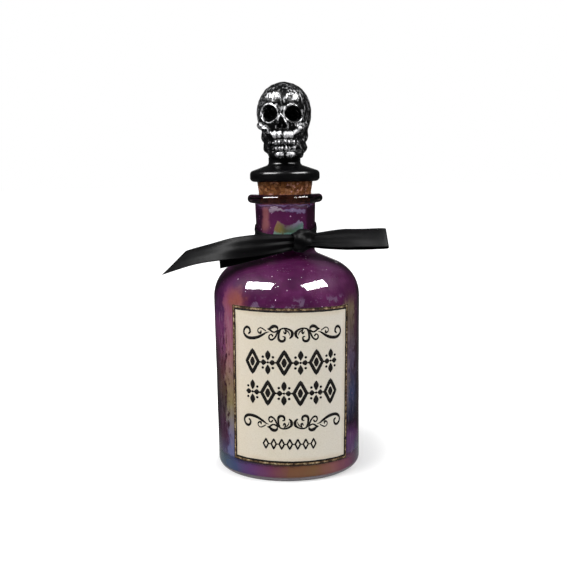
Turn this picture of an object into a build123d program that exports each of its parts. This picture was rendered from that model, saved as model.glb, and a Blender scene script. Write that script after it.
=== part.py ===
from build123d import *
import os
from math import cos, degrees, radians, sin, tan

# Decorative apothecary bottle, corked with a skull-topped stopper and tied with a ribbon.
# Millimetres, +Z up. The origin is on the bottle's axis, in the plane of the foot ring
# that it stands on. The label faces -Y. Each sub-part below is one solid in its own file.

# Bottle: a moulded glass body with a domed shoulder, a short neck and a rolled lip
body_radius = 41.45
body_taper = 0.85
body_height = 111.9
shoulder_angle = 23.0
shoulder_round = 21.5
neck_radius = 16.3
neck_flare = 0.7
neck_length = 27.9
neck_root_round = 3.0
lip_radius = 21.15
lip_height = 4.9
lip_round_share = 0.46
mouth_round = 0.7
heel_round = 5.0
foot_ring_width = 6.0
punt_depth = 3.0
wall = 3.0
neck_wall = 2.7
floor_thickness = 5.5
inner_round_share = 0.8

# Cork: a tapered plug, seated in a mouth of the same taper
cork_top_radius = 15.6
cork_length = 22.0
cork_proud = 6.85
cork_taper = 7.5
cork_chamfer = 0.8
cork_clearance = 0.1

# Stopper top: one casting of a flange, a waisted stem, a skull and a peg glued into the cork
flange_radius = 19.65
flange_height = 5.7
flange_round_share = 0.42
flange_rise = 3.7
stem_radius = 8.9
stem_round = 2.0
skull_seat = 12.6
skull_width = 30.6
skull_depth = 35.0
skull_height = 42.0
skull_turn = -3.0
peg_radius = 4.0
peg_length = 11.0
peg_chamfer = 0.6
peg_clearance = 0.1

# Paper label, glued round the front of the body
label_width = 71.4
label_height = 86.4
label_bottom = 10.1
label_thickness = 0.25
label_turn = 2.8
label_lean = 1.2
glue_film = 0.1

# Satin ribbon: a band round the neck, a knot at its right front, two tails and one loop
ribbon_width = 12.0
ribbon_thickness = 0.3
ribbon_clearance = 0.2
band_rise = 1.7
band_front_height = 9.1
band_pitch = 14.0
band_lower_pitch = 9.5
band_roll = 1.0
knot_turn = 27.0
knot_width = 16.5
knot_height = 13.4
knot_depth = 6.8
knot_rise = 7.6
knot_round_share = 0.42
long_tail_reach = 78.0
long_tail_drop = 14.6
long_tail_slant = 14.5
short_tail_reach = 46.8
short_tail_drop = 9.2
tail_gap = 1.2
loop_reach = 47.3
loop_belly = 1.7
loop_fold = 1.8
loop_tilt = 35.0
loop_heading = 8.0
loop_pinch = 6.6
loop_pinch_share = 0.5

overrun = 4.0

neck_root_z = body_height + (body_radius - neck_radius) * tan(radians(shoulder_angle))
lip_bottom_z = neck_root_z + neck_length
bottle_height = lip_bottom_z + lip_height
cork_top_z = bottle_height + cork_proud
cork_slope = tan(radians(cork_taper))


# Glass bottle: one wall turned from its section, with a lip, a tapered mouth and a punt
foot_radius = body_radius - body_taper
ring_inner_radius = foot_radius - heel_round - foot_ring_width
mouth_radius = cork_top_radius - cork_proud * cork_slope + cork_clearance
bore_radius = neck_radius - neck_wall
mouth_seat_z = bottle_height - (mouth_radius - bore_radius) / cork_slope
shoulder_slope = tan(radians(shoulder_angle))
shoulder_wall = wall / cos(radians(shoulder_angle))
cavity_corner_z = body_height + wall * shoulder_slope - shoulder_wall
bore_root_z = neck_root_z + neck_wall * shoulder_slope - shoulder_wall
lip_round = lip_height * lip_round_share
cavity_heel_round = heel_round * inner_round_share
cavity_shoulder_round = shoulder_round * inner_round_share

bottle_corners = [
    (ring_inner_radius, 0),
    (foot_radius, 0),
    (body_radius, body_height),
    (neck_radius, neck_root_z),
    (neck_radius + neck_flare, lip_bottom_z),
    (lip_radius, lip_bottom_z),
    (lip_radius, bottle_height),
    (mouth_radius, bottle_height),
    (bore_radius, mouth_seat_z),
    (bore_radius, bore_root_z),
    (body_radius - wall, cavity_corner_z),
    (foot_radius - wall, floor_thickness),
    (0, floor_thickness),
]
bottle_rounds = [
    heel_round,
    shoulder_round,
    neck_root_round,
    mouth_round,
    lip_round,
    lip_round,
    mouth_round,
    mouth_round,
    neck_root_round,
    cavity_shoulder_round,
    cavity_heel_round,
]

with BuildPart() as glass_bottle:
    with BuildSketch(Plane.XZ):
        with BuildLine():
            FilletPolyline(*bottle_corners, radius=bottle_rounds)
            TangentArc((0, punt_depth), (ring_inner_radius, 0), tangent=(1, 0))
            Line((0, punt_depth), (0, floor_thickness))
        make_face()
    revolve(axis=Axis.Z)
glass_bottle.part.label = "glass_bottle"


# Paper label: a thin sheet along the body's slight cone, held off it by the film of glue.
# It was stuck on a little crooked, so its four edges are cut by planes that lean with it.
label_span = degrees(label_width / body_radius)
label_spare = degrees(overrun / body_radius)
label_start = radians(label_turn - label_span / 2 - label_spare)
label_start_plane = Plane(
    origin=(0, 0, 0),
    x_dir=(sin(label_start), -cos(label_start), 0),
    z_dir=(-cos(label_start), -sin(label_start), 0),
)
label_inner_foot = foot_radius + glue_film
label_inner_head = body_radius + glue_film
label_middle_z = label_bottom + label_height / 2


def label_edge_planes(turn, drop):
    """Planes that look up and along the label's edges, at a turn round the body."""
    outward = Vector(sin(radians(turn)), -cos(radians(turn)), 0)
    along = Vector(cos(radians(turn)), sin(radians(turn)), 0)
    upward = along * sin(radians(label_lean)) + Vector(0, 0, cos(radians(label_lean)))
    origin = outward * body_radius + Vector(0, 0, label_middle_z - drop)
    return Plane(origin=origin, z_dir=upward), Plane(origin=origin, z_dir=outward.cross(upward))


label_side_drop = label_width / 2 * sin(radians(label_lean))
label_up, _ = label_edge_planes(label_turn, 0)
_, label_left = label_edge_planes(label_turn - label_span / 2, -label_side_drop)
_, label_right = label_edge_planes(label_turn + label_span / 2, label_side_drop)

with BuildPart() as paper_label:
    with BuildSketch(label_start_plane):
        with BuildLine():
            Polyline(
                (label_inner_foot, 0),
                (label_inner_foot + label_thickness, 0),
                (label_inner_head + label_thickness, body_height),
                (label_inner_head, body_height),
                close=True,
            )
        make_face()
    revolve(axis=Axis.Z, revolution_arc=label_span + 2 * label_spare)
    split(bisect_by=label_up.offset(label_height / 2), keep=Keep.BOTTOM)
    split(bisect_by=label_up.offset(-label_height / 2), keep=Keep.TOP)
    split(bisect_by=label_left, keep=Keep.BOTTOM)
    split(bisect_by=label_right, keep=Keep.TOP)
paper_label.part.label = "paper_label"


# Cork stopper: chamfered at its foot, with a blind hole for the casting's peg
cork_foot_z = cork_top_z - cork_length
cork_foot_radius = cork_top_radius - cork_length * cork_slope

with BuildPart() as cork_stopper:
    with BuildSketch(Plane.XZ):
        with BuildLine():
            Polyline(
                (0, cork_foot_z),
                (cork_foot_radius, cork_foot_z),
                (cork_top_radius, cork_top_z),
                (0, cork_top_z),
                close=True,
            )
        make_face()
    revolve(axis=Axis.Z)
    chamfer(cork_stopper.edges().group_by(Axis.Z)[0], length=cork_chamfer)
    with Locations((0, 0, cork_top_z)):
        Hole(radius=peg_radius + peg_clearance, depth=peg_length + peg_clearance)
cork_stopper.part.label = "cork_stopper"


# Skull: places and half-sizes of its bones, as shares of its width, depth and height.
# A place is across, back and up, and each paired bone is given for the right-hand side.
parietal_place_shares = (0.06, 0.06, 0.6)
parietal_size_shares = (0.435, 0.5, 0.4)
face_place_shares = (0, -0.13, 0.43)
face_size_shares = (0.42, 0.3, 0.27)
jaw_place_shares = (0, -0.045, 0.165)
jaw_size_shares = (0.385, 0.36, 0.185)
muzzle_place_shares = (0, -0.26, 0.21)
muzzle_size_shares = (0.25, 0.17, 0.165)
bridge_place_shares = (0, -0.385, 0.555)
bridge_size_shares = (0.045, 0.07, 0.085)
cheekbone_place_shares = (0.32, -0.255, 0.42)
cheekbone_size_shares = (0.235, 0.07, 0.048)
cheekbone_tilt = (0, -32, 44)
chin_place_shares = (0.095, -0.375, 0.06)
chin_size_shares = (0.13, 0.075, 0.055)
orbit_place_shares = (0.222, -0.375, 0.575)
orbit_size_shares = (0.128, 0.13, 0.095)
orbit_rim_share = 0.03
orbit_turn = 20.0
nose_place_shares = (0.05, -0.44, 0.43)
nose_size_shares = (0.056, 0.1, 0.075)
nose_tilt = (0, 18, 0)
cheek_hollow_place_shares = (0.4, -0.3, 0.27)
cheek_hollow_size_shares = (0.13, 0.19, 0.12)
temple_place_shares = (0.52, -0.22, 0.62)
temple_size_shares = (0.07, 0.2, 0.13)
tooth_size_shares = (0.036, 0.028, 0.036)
tooth_row_shares = (0.235, 0.16)
tooth_arch_shares = (0.225, 0.15)
tooth_arch_back_share = -0.285
tooth_angles = (-65, -38, -13, 13, 38, 65)
face_lean_share = -0.1
face_lean_height_share = 0.3
skull_sides = (-1, 1)
skull_base_z = cork_top_z + skull_seat


def skull_place(shares, side=1, lean=face_lean_share):
    """A point of the skull; the face's features lean over to one side as they rise."""
    across, back, up = shares
    leaned = lean * (up - face_lean_height_share) * skull_height
    return Vector(
        side * across * skull_width + leaned,
        back * skull_depth,
        skull_base_z + up * skull_height,
    )


def skull_bone(size_shares, centre, tilt=(0, 0, 0)):
    """A unit ball stretched to its half-sizes, tilted, and moved to its centre."""
    half_sizes = (
        size_shares[0] * skull_width,
        size_shares[1] * skull_depth,
        size_shares[2] * skull_height,
    )
    with BuildPart() as bone:
        Sphere(1)
        scale(by=half_sizes)
    return Location((0, 0, 0), (0, 0, skull_turn)) * Location(centre, Vector(*tilt)) * bone.part


def skull_pair(size_shares, place_shares, tilt=(0, 0, 0), lean=face_lean_share):
    """The same bone on the left and on the right of the skull."""
    return [
        skull_bone(
            size_shares,
            skull_place(place_shares, side, lean),
            (tilt[0], side * tilt[1], side * tilt[2]),
        )
        for side in skull_sides
    ]


def orbit_rims():
    """The raised ring of bone round each eye socket, turned outwards with its socket."""
    rings = []
    for side in skull_sides:
        facing = Plane(
            origin=skull_place(orbit_place_shares, side),
            z_dir=(side * sin(radians(orbit_turn)), -cos(radians(orbit_turn)), 0),
        )
        with BuildPart() as ring:
            Torus(orbit_size_shares[0] * skull_width, orbit_rim_share * skull_width)
        rings.append(Location((0, 0, 0), (0, 0, skull_turn)) * facing.location * ring.part)
    return rings


def skull_teeth():
    """Two rows of peg-shaped teeth round the arch of the muzzle."""
    teeth = []
    for row_share in tooth_row_shares:
        for angle in tooth_angles:
            across = tooth_arch_shares[0] * sin(radians(angle))
            back = tooth_arch_back_share - tooth_arch_shares[1] * cos(radians(angle))
            centre = skull_place((across, back, row_share))
            teeth.append(skull_bone(tooth_size_shares, centre, (0, 0, angle)))
    return teeth


skull_bones = [
    *skull_pair(parietal_size_shares, parietal_place_shares, lean=0),
    skull_bone(face_size_shares, skull_place(face_place_shares)),
    skull_bone(jaw_size_shares, skull_place(jaw_place_shares)),
    skull_bone(muzzle_size_shares, skull_place(muzzle_place_shares)),
    skull_bone(bridge_size_shares, skull_place(bridge_place_shares)),
    *skull_pair(cheekbone_size_shares, cheekbone_place_shares, cheekbone_tilt),
    *skull_pair(chin_size_shares, chin_place_shares),
    *orbit_rims(),
]
skull_hollows = [
    *skull_pair(orbit_size_shares, orbit_place_shares),
    *skull_pair(nose_size_shares, nose_place_shares, nose_tilt),
    *skull_pair(cheek_hollow_size_shares, cheek_hollow_place_shares),
    *skull_pair(temple_size_shares, temple_place_shares),
]

# Skull topper: a turned flange and stem, with the skull built up on it and a peg below
flange_top_z = cork_top_z + flange_height
stem_foot_z = flange_top_z + flange_rise
stem_head_z = skull_base_z + jaw_place_shares[2] * skull_height
flange_round = flange_height * flange_round_share
topper_corners = [
    (0, cork_top_z),
    (flange_radius, cork_top_z),
    (flange_radius, flange_top_z),
    (stem_radius, stem_foot_z),
    (stem_radius, stem_head_z),
    (0, stem_head_z),
]
topper_rounds = [flange_round, flange_round, stem_round, stem_round]

with BuildPart() as skull_topper:
    with BuildSketch(Plane.XZ):
        with BuildLine():
            FilletPolyline(*topper_corners, radius=topper_rounds)
            Line(topper_corners[-1], topper_corners[0])
        make_face()
    revolve(axis=Axis.Z)
    add(skull_bones)
    add(skull_hollows, mode=Mode.SUBTRACT)
    add(skull_teeth())
    with BuildSketch(Plane.XY.offset(cork_top_z)):
        Circle(peg_radius)
    extrude(amount=-peg_length)
    chamfer(skull_topper.edges().group_by(Axis.Z)[0], length=peg_chamfer)
skull_topper.part.label = "skull_topper"


# Neck band: a turn of ribbon round the neck, gathered and lower at the front
band_foot_z = neck_root_z + band_rise
band_top_z = band_foot_z + band_front_height
band_inner_radius = neck_radius + neck_flare + ribbon_clearance
band_outer_radius = band_inner_radius + ribbon_thickness
band_upper_cut = Plane(origin=(0, -band_outer_radius, band_top_z)).rotated(
    (band_pitch, -band_roll, 0)
)
band_lower_cut = Plane(origin=(0, -band_outer_radius, band_foot_z)).rotated(
    (band_lower_pitch, -band_roll, 0)
)

with BuildPart() as ribbon_neck_band:
    with BuildSketch(Plane.XY.offset(neck_root_z)):
        Circle(band_outer_radius)
        Circle(band_inner_radius, mode=Mode.SUBTRACT)
    extrude(amount=neck_length)
    split(bisect_by=band_upper_cut, keep=Keep.BOTTOM)
    split(bisect_by=band_lower_cut, keep=Keep.TOP)
ribbon_neck_band.part.label = "ribbon_neck_band"


# Knot: a pillow of bunched ribbon that bears on the band at the right front
knot_out = Vector(sin(radians(knot_turn)), -cos(radians(knot_turn)), 0)
knot_along = Vector(cos(radians(knot_turn)), sin(radians(knot_turn)), 0)
knot_z = neck_root_z + knot_rise
knot_back = band_outer_radius + ribbon_clearance
knot_station_shares = (-0.5, 0, 0.5)
knot_size_shares = (0.6, 1, 0.6)

with BuildPart() as ribbon_knot:
    for station, size in zip(knot_station_shares, knot_size_shares):
        middle = knot_out * (knot_back + knot_depth * size / 2)
        middle += knot_along * (station * knot_width)
        section = Plane(origin=(middle.X, middle.Y, knot_z), x_dir=knot_out, z_dir=knot_along)
        with BuildSketch(section):
            RectangleRounded(
                knot_depth * size, knot_height * size, knot_depth * size * knot_round_share
            )
    loft()
ribbon_knot.part.label = "ribbon_knot"


# Tails: flat ribbon that leaves the knot to the left, twists and droops. Each station has
# its place as shares of the tail's reach to the left, its drop, and its reach to the back,
# the lean of the ribbon's top edge towards the back, and its share of the ribbon's width.
knot_middle = knot_out * (knot_back + knot_depth / 2)
long_tail_place_shares = [
    (0, 0, 0),
    (0.28, 0.1, -0.065),
    (0.43, 0.18, -0.06),
    (0.58, 0.31, -0.03),
    (0.8, 0.59, 0.04),
    (1, 1, 0.13),
]
long_tail_leans = (0, 4, 12, 32, 50, 50)
long_tail_width_shares = (0.55, 0.95, 1, 1, 1, 1)
short_tail_place_shares = [
    (0, 0, 0),
    (0.3, 0.2, -0.06),
    (0.56, 0.45, -0.07),
    (0.8, 0.75, -0.02),
    (1, 1, 0.05),
]
short_tail_leans = (0, 22, 24, 22, 20)
short_tail_width_shares = (0.55, 0.85, 1, 1, 1)


def tail_planes(place_shares, leans, reach, drop, inset):
    """A tail's section planes, each square to the tail's own run and leaning as given."""
    middles = []
    for along, down, back in place_shares:
        middles.append(
            Vector(
                knot_middle.X - along * reach,
                knot_middle.Y + back * reach + inset,
                knot_z - down * drop,
            )
        )
    planes = []
    for index, lean in enumerate(leans):
        ahead = middles[min(index + 1, len(middles) - 1)] - middles[max(index - 1, 0)]
        upright = Vector(0, sin(radians(lean)), cos(radians(lean)))
        planes.append(Plane(origin=middles[index], x_dir=upright.cross(ahead), z_dir=ahead))
    return planes


long_tail_planes = tail_planes(
    long_tail_place_shares, long_tail_leans, long_tail_reach, long_tail_drop, 0
)
short_tail_planes = tail_planes(
    short_tail_place_shares, short_tail_leans, short_tail_reach, short_tail_drop, tail_gap
)
tail_end = long_tail_planes[-1]
tip = tail_end.origin - tail_end.y_dir * (ribbon_width / 2)
cut_along = tail_end.y_dir * ribbon_width - tail_end.z_dir * long_tail_slant
slanted_cut = Plane(origin=tip, x_dir=tail_end.x_dir, z_dir=tail_end.x_dir.cross(cut_along))

with BuildPart() as ribbon_long_tail:
    for section, width_share in zip(long_tail_planes, long_tail_width_shares):
        with BuildSketch(section):
            Rectangle(ribbon_thickness, width_share * ribbon_width)
    loft()
    split(bisect_by=slanted_cut, keep=Keep.BOTTOM)
    add(ribbon_knot.part, mode=Mode.SUBTRACT)
ribbon_long_tail.part.label = "ribbon_long_tail"

with BuildPart() as ribbon_short_tail:
    for section, width_share in zip(short_tail_planes, short_tail_width_shares):
        with BuildSketch(section):
            Rectangle(ribbon_thickness, width_share * ribbon_width)
    loft()
    add(ribbon_knot.part, mode=Mode.SUBTRACT)
ribbon_short_tail.part.label = "ribbon_short_tail"


# Loop: a flattened loop of ribbon that leaves the knot to the right, narrow where it starts
loop_ahead = Vector(cos(radians(loop_heading)), sin(radians(loop_heading)), 0)
loop_upright = Vector(
    -sin(radians(loop_heading)) * sin(radians(loop_tilt)),
    cos(radians(loop_heading)) * sin(radians(loop_tilt)),
    cos(radians(loop_tilt)),
)
loop_plane = Plane(
    origin=(knot_middle.X, knot_middle.Y, knot_z), x_dir=loop_ahead, z_dir=loop_upright
)
loop_face = Plane(
    origin=loop_plane.origin, x_dir=loop_ahead, z_dir=loop_ahead.cross(loop_upright)
)
loop_mid = loop_reach / 2
loop_end = loop_reach - loop_fold
loop_full = loop_reach * loop_pinch_share
loop_outline = [
    (0, -loop_pinch / 2),
    (loop_full, -ribbon_width / 2),
    (loop_reach, -ribbon_width / 2),
    (loop_reach, ribbon_width / 2),
    (loop_full, ribbon_width / 2),
    (0, loop_pinch / 2),
]

with BuildPart() as ribbon_loop:
    with BuildSketch(loop_plane):
        with BuildLine():
            ThreePointArc((0, 0), (loop_mid, -loop_belly), (loop_end, -loop_fold))
            ThreePointArc((loop_end, -loop_fold), (loop_reach, 0), (loop_end, loop_fold))
            ThreePointArc((loop_end, loop_fold), (loop_mid, loop_belly), (0, 0))
        make_face()
        offset(amount=-ribbon_thickness, mode=Mode.SUBTRACT)
    extrude(amount=ribbon_width / 2, both=True)
    with BuildSketch(loop_face):
        Polygon(*loop_outline, align=None)
    extrude(amount=loop_reach, both=True, mode=Mode.INTERSECT)
    add(ribbon_knot.part, mode=Mode.SUBTRACT)
ribbon_loop.part.label = "ribbon_loop"


sub_parts = [
    glass_bottle,
    paper_label,
    cork_stopper,
    skull_topper,
    ribbon_neck_band,
    ribbon_knot,
    ribbon_long_tail,
    ribbon_short_tail,
    ribbon_loop,
]
os.makedirs("parts", exist_ok=True)
for sub_part in sub_parts:
    export_step(sub_part.part, f"parts/{sub_part.part.label}.step")
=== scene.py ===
import bpy
import math
import numpy as np
import openvdb
from mathutils import Euler, Matrix, Vector, noise


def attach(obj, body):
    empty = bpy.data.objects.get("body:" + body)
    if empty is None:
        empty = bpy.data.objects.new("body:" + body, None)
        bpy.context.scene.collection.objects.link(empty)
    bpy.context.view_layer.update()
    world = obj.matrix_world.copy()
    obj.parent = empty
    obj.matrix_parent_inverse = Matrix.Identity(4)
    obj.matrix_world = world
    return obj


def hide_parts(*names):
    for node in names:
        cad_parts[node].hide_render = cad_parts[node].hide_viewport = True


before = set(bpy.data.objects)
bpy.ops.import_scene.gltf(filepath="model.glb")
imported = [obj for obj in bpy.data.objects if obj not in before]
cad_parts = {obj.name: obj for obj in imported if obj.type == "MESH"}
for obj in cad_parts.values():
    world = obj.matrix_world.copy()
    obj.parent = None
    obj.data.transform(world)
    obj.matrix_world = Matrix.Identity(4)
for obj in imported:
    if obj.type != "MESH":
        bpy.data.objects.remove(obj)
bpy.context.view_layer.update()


# Table, lamps and camera.
# The bottle stands on a white paper sweep. Two softboxes hang in front of it, one at each
# side, in a room that is white behind the bottle and dim in front of it.
mm = 0.001
camera_place = Vector((-1.66, -530.97, 173.77))
camera_pitch, camera_roll = 7.458, -0.90
camera_lens = 59.56
sweep_radius = 6000
contact_near, contact_far = 42, 52
cast_near, cast_far, cast_shift = 20, 72, (-20, -2, 0)
lamp_target = Vector((0, 0, 110))
# azimuth, elevation, roll, distance, width, height and radiance of each softbox
softboxes = {
    "softbox_left": (-56, 43, 16, 1200, 900, 460, 10.6),
    "softbox_right": (57, 41, 0, 1200, 840, 420, 9.0),
}
# what a mirror sees of a softbox beyond that, because its cloth is a bare white there
mirrored_radiance = 20.0
ambient_level, dim_level = 0.30, 0.03


def linear(code):
    """An sRGB hex colour as the linear colour that a socket takes."""
    parts = [int(code[i : i + 2], 16) / 255 for i in (1, 3, 5)]
    return [p / 12.92 if p <= 0.04045 else ((p + 0.055) / 1.055) ** 2.4 for p in parts] + [1]


# the setting that the second word of a node's kind stands for
node_choice = {
    "Math": "operation", "VectorMath": "operation", "Mix": "data_type",
    "MapRange": "interpolation_type", "TexVoronoi": "feature",
}


def node(kind, *inputs, stops=None, **settings):
    """Adds a node. Inputs come in order or as a dict: values, hex colours, nodes or sockets."""
    kind, _, choice = kind.partition(" ")
    made = tree.nodes.new("ShaderNode" + kind)
    if choice:
        settings[node_choice[kind]] = choice
    for name, value in settings.items():
        setattr(made, name, value)
    if stops:
        ramp = made.color_ramp.elements
        ramp.remove(ramp[1])
        for n, (place, code) in enumerate(stops.items()):
            stop = ramp.new(place) if n else ramp[0]
            stop.position, stop.color = place, linear(code)
    if inputs and isinstance(inputs[0], dict):
        pairs = [(made.inputs[name], value) for name, value in inputs[0].items()]
    else:
        pairs = zip([socket for socket in made.inputs if socket.enabled], inputs)
    for socket, value in pairs:
        if isinstance(value, bpy.types.Node):
            value = next(out for out in value.outputs if out.enabled)
        if isinstance(value, bpy.types.NodeSocket):
            tree.links.new(value, socket)
        else:
            socket.default_value = linear(value) if isinstance(value, str) else value
    return made


def place_on(source=None):
    """A place on a piece in millimetres, and its three parts."""
    spot = node("VectorMath SCALE", source or node("TexCoord").outputs["Object"], 1 / mm)
    return spot, *node("SeparateXYZ", spot).outputs


def shown_within(*edges, of=1.0):
    """How much shows within soft edges: each a value, where it starts and where it is full."""
    for value, start, full in edges:
        of = node("Math MULTIPLY", node("MapRange SMOOTHSTEP", value, start, full), of)
    return of


def laid_over(tone, *layers):
    """A colour with others laid over it, each given as its share and its colour."""
    for share, colour in layers:
        tone = node("Mix RGBA", share, tone, colour)
    return tone


def new_material(name):
    """An empty material and its node tree."""
    made = bpy.data.materials.new(name)
    made.use_nodes = True
    made.node_tree.nodes.clear()
    return made, made.node_tree


def new_piece(name, points, faces, material):
    """A mesh object from points in millimetres."""
    mesh = bpy.data.meshes.new(name)
    mesh.from_pydata([tuple(c * mm for c in p) for p in points], [], [list(f) for f in faces])
    mesh.polygons.foreach_set("use_smooth", [True] * len(mesh.polygons))
    mesh.materials.append(material)
    mesh.validate()
    made = bpy.data.objects.new(name, mesh)
    bpy.context.scene.collection.objects.link(made)
    return made


room = bpy.data.worlds.new("white_room")
room.use_nodes = True
bpy.context.scene.world = room
tree = room.node_tree
tree.nodes.clear()
path = node("LightPath").outputs
mirrored = node("Math MAXIMUM", path["Is Glossy Ray"], path["Is Transmission Ray"])
to_back = node("SeparateXYZ", node("TexCoord")).outputs["Y"]
seen_room = node("MapRange SMOOTHSTEP", to_back, 0.965, 0.998, dim_level, 1)
seen_room = node("Mix", path["Is Camera Ray"], seen_room, 1.0)
seen = node("Math MAXIMUM", mirrored, path["Is Camera Ray"])
glow = node("Background", "#FFFFFF", node("Mix", seen, ambient_level, seen_room))
node("OutputWorld", glow)

# The sweep keeps the bottle's shadow where it stands and goes over to plain white round it.
sweep_paper, tree = new_material("sweep_paper")
spot, along_side, along_back, _ = place_on()
out = node("VectorMath LENGTH", spot)
touching = node("MapRange", out, contact_near, contact_far, 0.35, 1)
# the stronger lamp is at the left, so the shadow that shows lies at the right of the foot
cast = node("Mapping", {"Vector": spot, "Location": cast_shift, "Scale": (1, 0.3, 1)})
cast = node("VectorMath LENGTH", cast)
cast = node("MapRange SMOOTHSTEP", cast, cast_near, cast_far, 0.3, 1)
path = node("LightPath").outputs
mirrored = node("Math MAXIMUM", path["Is Glossy Ray"], path["Is Transmission Ray"])
# mirrored in the bottle, only the paper straight behind it is white, as the room is dim
off_line = node("Math DIVIDE", node("Math ABSOLUTE", along_side), along_back)
behind = shown_within((along_back, 200, 900), (off_line, 0.22, 0.05), of=mirrored)
seen = node("Math MAXIMUM", behind, path["Is Camera Ray"])
glowing = node("Math MULTIPLY", node("Math MINIMUM", touching, cast), seen)
tone = node("ValToRGB", node("TexNoise", spot, 0.9, 2.0), stops={0.3: "#A2A2A2", 0.7: "#A8A8A8"})
# in reflections the paper fades to nearly black from 45 to 110 mm out: painted shade, as the lamps
# light the floor only near the bottle
painted_far_shade = node("Math MULTIPLY", shown_within((out, 45, 110), of=0.9), path["Is Glossy Ray"])
tone = laid_over(tone, (painted_far_shade, "#181818"), (path["Is Camera Ray"], "#D8D8D8"))
paper = {
    "Base Color": tone, "Roughness": 0.9, "Specular IOR Level": 0.1,
    "Emission Color": "#FFFFFF", "Emission Strength": glowing,
}
node("OutputMaterial", node("BsdfPrincipled", paper))
rim = [(math.sin(math.tau * i / 96), math.cos(math.tau * i / 96)) for i in range(96)]
rim = [(sweep_radius * x, sweep_radius * y, -0.2) for x, y in rim]
wedges = [(0, 1 + (i + 1) % 96, 1 + i) for i in range(96)]
sweep = new_piece("sweep", [(0, 0, -0.2)] + rim, wedges, sweep_paper)

for name, (azimuth, elevation, roll, distance, width, height, radiance) in softboxes.items():
    a, e = math.radians(azimuth), math.radians(elevation)
    out = Vector((math.sin(a) * math.cos(e), -math.cos(a) * math.cos(e), math.sin(e)))
    for kind, level in (("", radiance), ("_mirrored", mirrored_radiance)):
        lamp = bpy.data.lights.new(name + kind, "AREA")
        lamp.shape = "RECTANGLE"
        lamp.size, lamp.size_y = width * mm, height * mm
        lamp.energy = level * math.pi * lamp.size * lamp.size_y
        box = bpy.data.objects.new(name + kind, lamp)
        box.location = (lamp_target + out * (distance + 3 * bool(kind))) * mm
        rolled = Matrix.Rotation(math.radians(roll), 3, "Z")
        box.rotation_euler = (out.to_track_quat("Z", "Y").to_matrix() @ rolled).to_euler()
        box.visible_transmission = False
        box.visible_diffuse = not kind
        bpy.context.scene.collection.objects.link(box)

lens = bpy.data.cameras.new("camera")
lens.lens, lens.sensor_width = camera_lens, 36
lens.clip_start, lens.clip_end = 0.01, 50
camera = bpy.data.objects.new("camera", lens)
camera.location = camera_place * mm
tilt = Euler((math.radians(90 - camera_pitch), 0, 0)).to_matrix()
turn = Matrix.Rotation(math.radians(camera_roll), 3, "Z")
camera.rotation_euler = (tilt @ turn).to_euler()
bpy.context.scene.collection.objects.link(camera)
bpy.context.scene.camera = camera
bpy.context.scene.view_settings.view_transform = "Standard"


# Glass bottle.
# One piece of clear soda glass, blown in a mould: a thick wall, a domed shoulder, a short
# neck and a rolled lip. A vapour lustre is fired on its outside, which gives the sheen.
body_radius, body_taper, body_height = 41.45, 0.85, 111.9
shoulder_slope, shoulder_round = math.tan(math.radians(23)), 21.5
neck_radius, neck_flare, neck_length, neck_root_round = 16.3, 0.7, 27.9, 3.0
lip_radius, lip_height, lip_round = 21.15, 4.9, 2.254
mouth_radius, mouth_round, bore_radius, mouth_seat_z = 14.80, 0.7, 13.6, 146.27
wall, neck_wall, floor_thickness, heel_round = 3.0, 2.7, 5.5, 5.0
ring_inner_radius, punt_depth = 29.6, 3.0
foot_radius = body_radius - body_taper
neck_root_z = body_height + (body_radius - neck_radius) * shoulder_slope
lip_bottom_z = neck_root_z + neck_length
bottle_height = lip_bottom_z + lip_height


def rounded(corners, rounds, step=5.0, run=3.0):
    """An outline through corners that are rounded to radii, with its long runs divided."""
    corners = [Vector(c) for c in corners]
    line = [corners[0]]
    for before, corner, after, radius in zip(corners, corners[1:], corners[2:], rounds):
        come, go = (before - corner).normalized(), (after - corner).normalized()
        half = come.angle(go) / 2
        centre = corner + (come + go).normalized() * (radius / math.sin(half))
        start = corner + come * (radius / math.tan(half)) - centre
        turn = start.angle_signed(corner + go * (radius / math.tan(half)) - centre)
        count = max(2, math.ceil(abs(math.degrees(turn)) / step))
        line += [centre + Matrix.Rotation(-turn * i / count, 2) @ start for i in range(count + 1)]
    line.append(corners[-1])
    divided = [line[0]]
    for a, b in zip(line, line[1:]):
        count = max(1, math.ceil((b - a).length / run))
        divided += [a.lerp(b, i / count) for i in range(1, count + 1)]
    return divided


def turned(name, outline, material, steps=224, dent=lambda spot: 0.0):
    """A piece turned round the bottle's axis, whose skin is moved out by dent at each place."""
    points, rings, faces = [], [], []
    for radius, z in outline:
        here = steps if radius > 1e-6 else 1
        rings.append([len(points) + i % here for i in range(steps)])
        for i in range(here):
            x, y = math.cos(math.tau * i / steps), math.sin(math.tau * i / steps)
            grown = radius + dent(Vector((x * radius, y * radius, z))) * (here > 1)
            points.append((x * grown, y * grown, z))
    for low, high in zip(rings, rings[1:]):
        for i in range(steps):
            face = [low[i - 1], low[i], high[i], high[i - 1]]
            faces.append([p for n, p in enumerate(face) if p not in face[:n]])
    return new_piece(name, points, faces, material)


def inside_outline(left_wall, top):
    """The bottle's inner face from the floor's middle to a height in the neck, for a wall."""
    thin = wall - left_wall
    lean = 1 / math.cos(math.atan(shoulder_slope))
    corner_z = body_height + left_wall * shoulder_slope - left_wall * lean
    root_z = neck_root_z + (neck_wall - thin) * shoulder_slope - left_wall * lean
    corners = [
        (0, floor_thickness - thin), (foot_radius - left_wall, floor_thickness - thin),
        (body_radius - left_wall, corner_z), (bore_radius + thin, root_z),
        (bore_radius + thin, min(top, mouth_seat_z)),
    ]
    line = rounded(corners, [heel_round * 0.8, shoulder_round * 0.8, neck_root_round])
    if top > mouth_seat_z:
        flare = (mouth_radius - bore_radius) / (bottle_height - mouth_seat_z)
        line.append(Vector((bore_radius + thin + (top - mouth_seat_z) * flare, top)))
    return line


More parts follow.
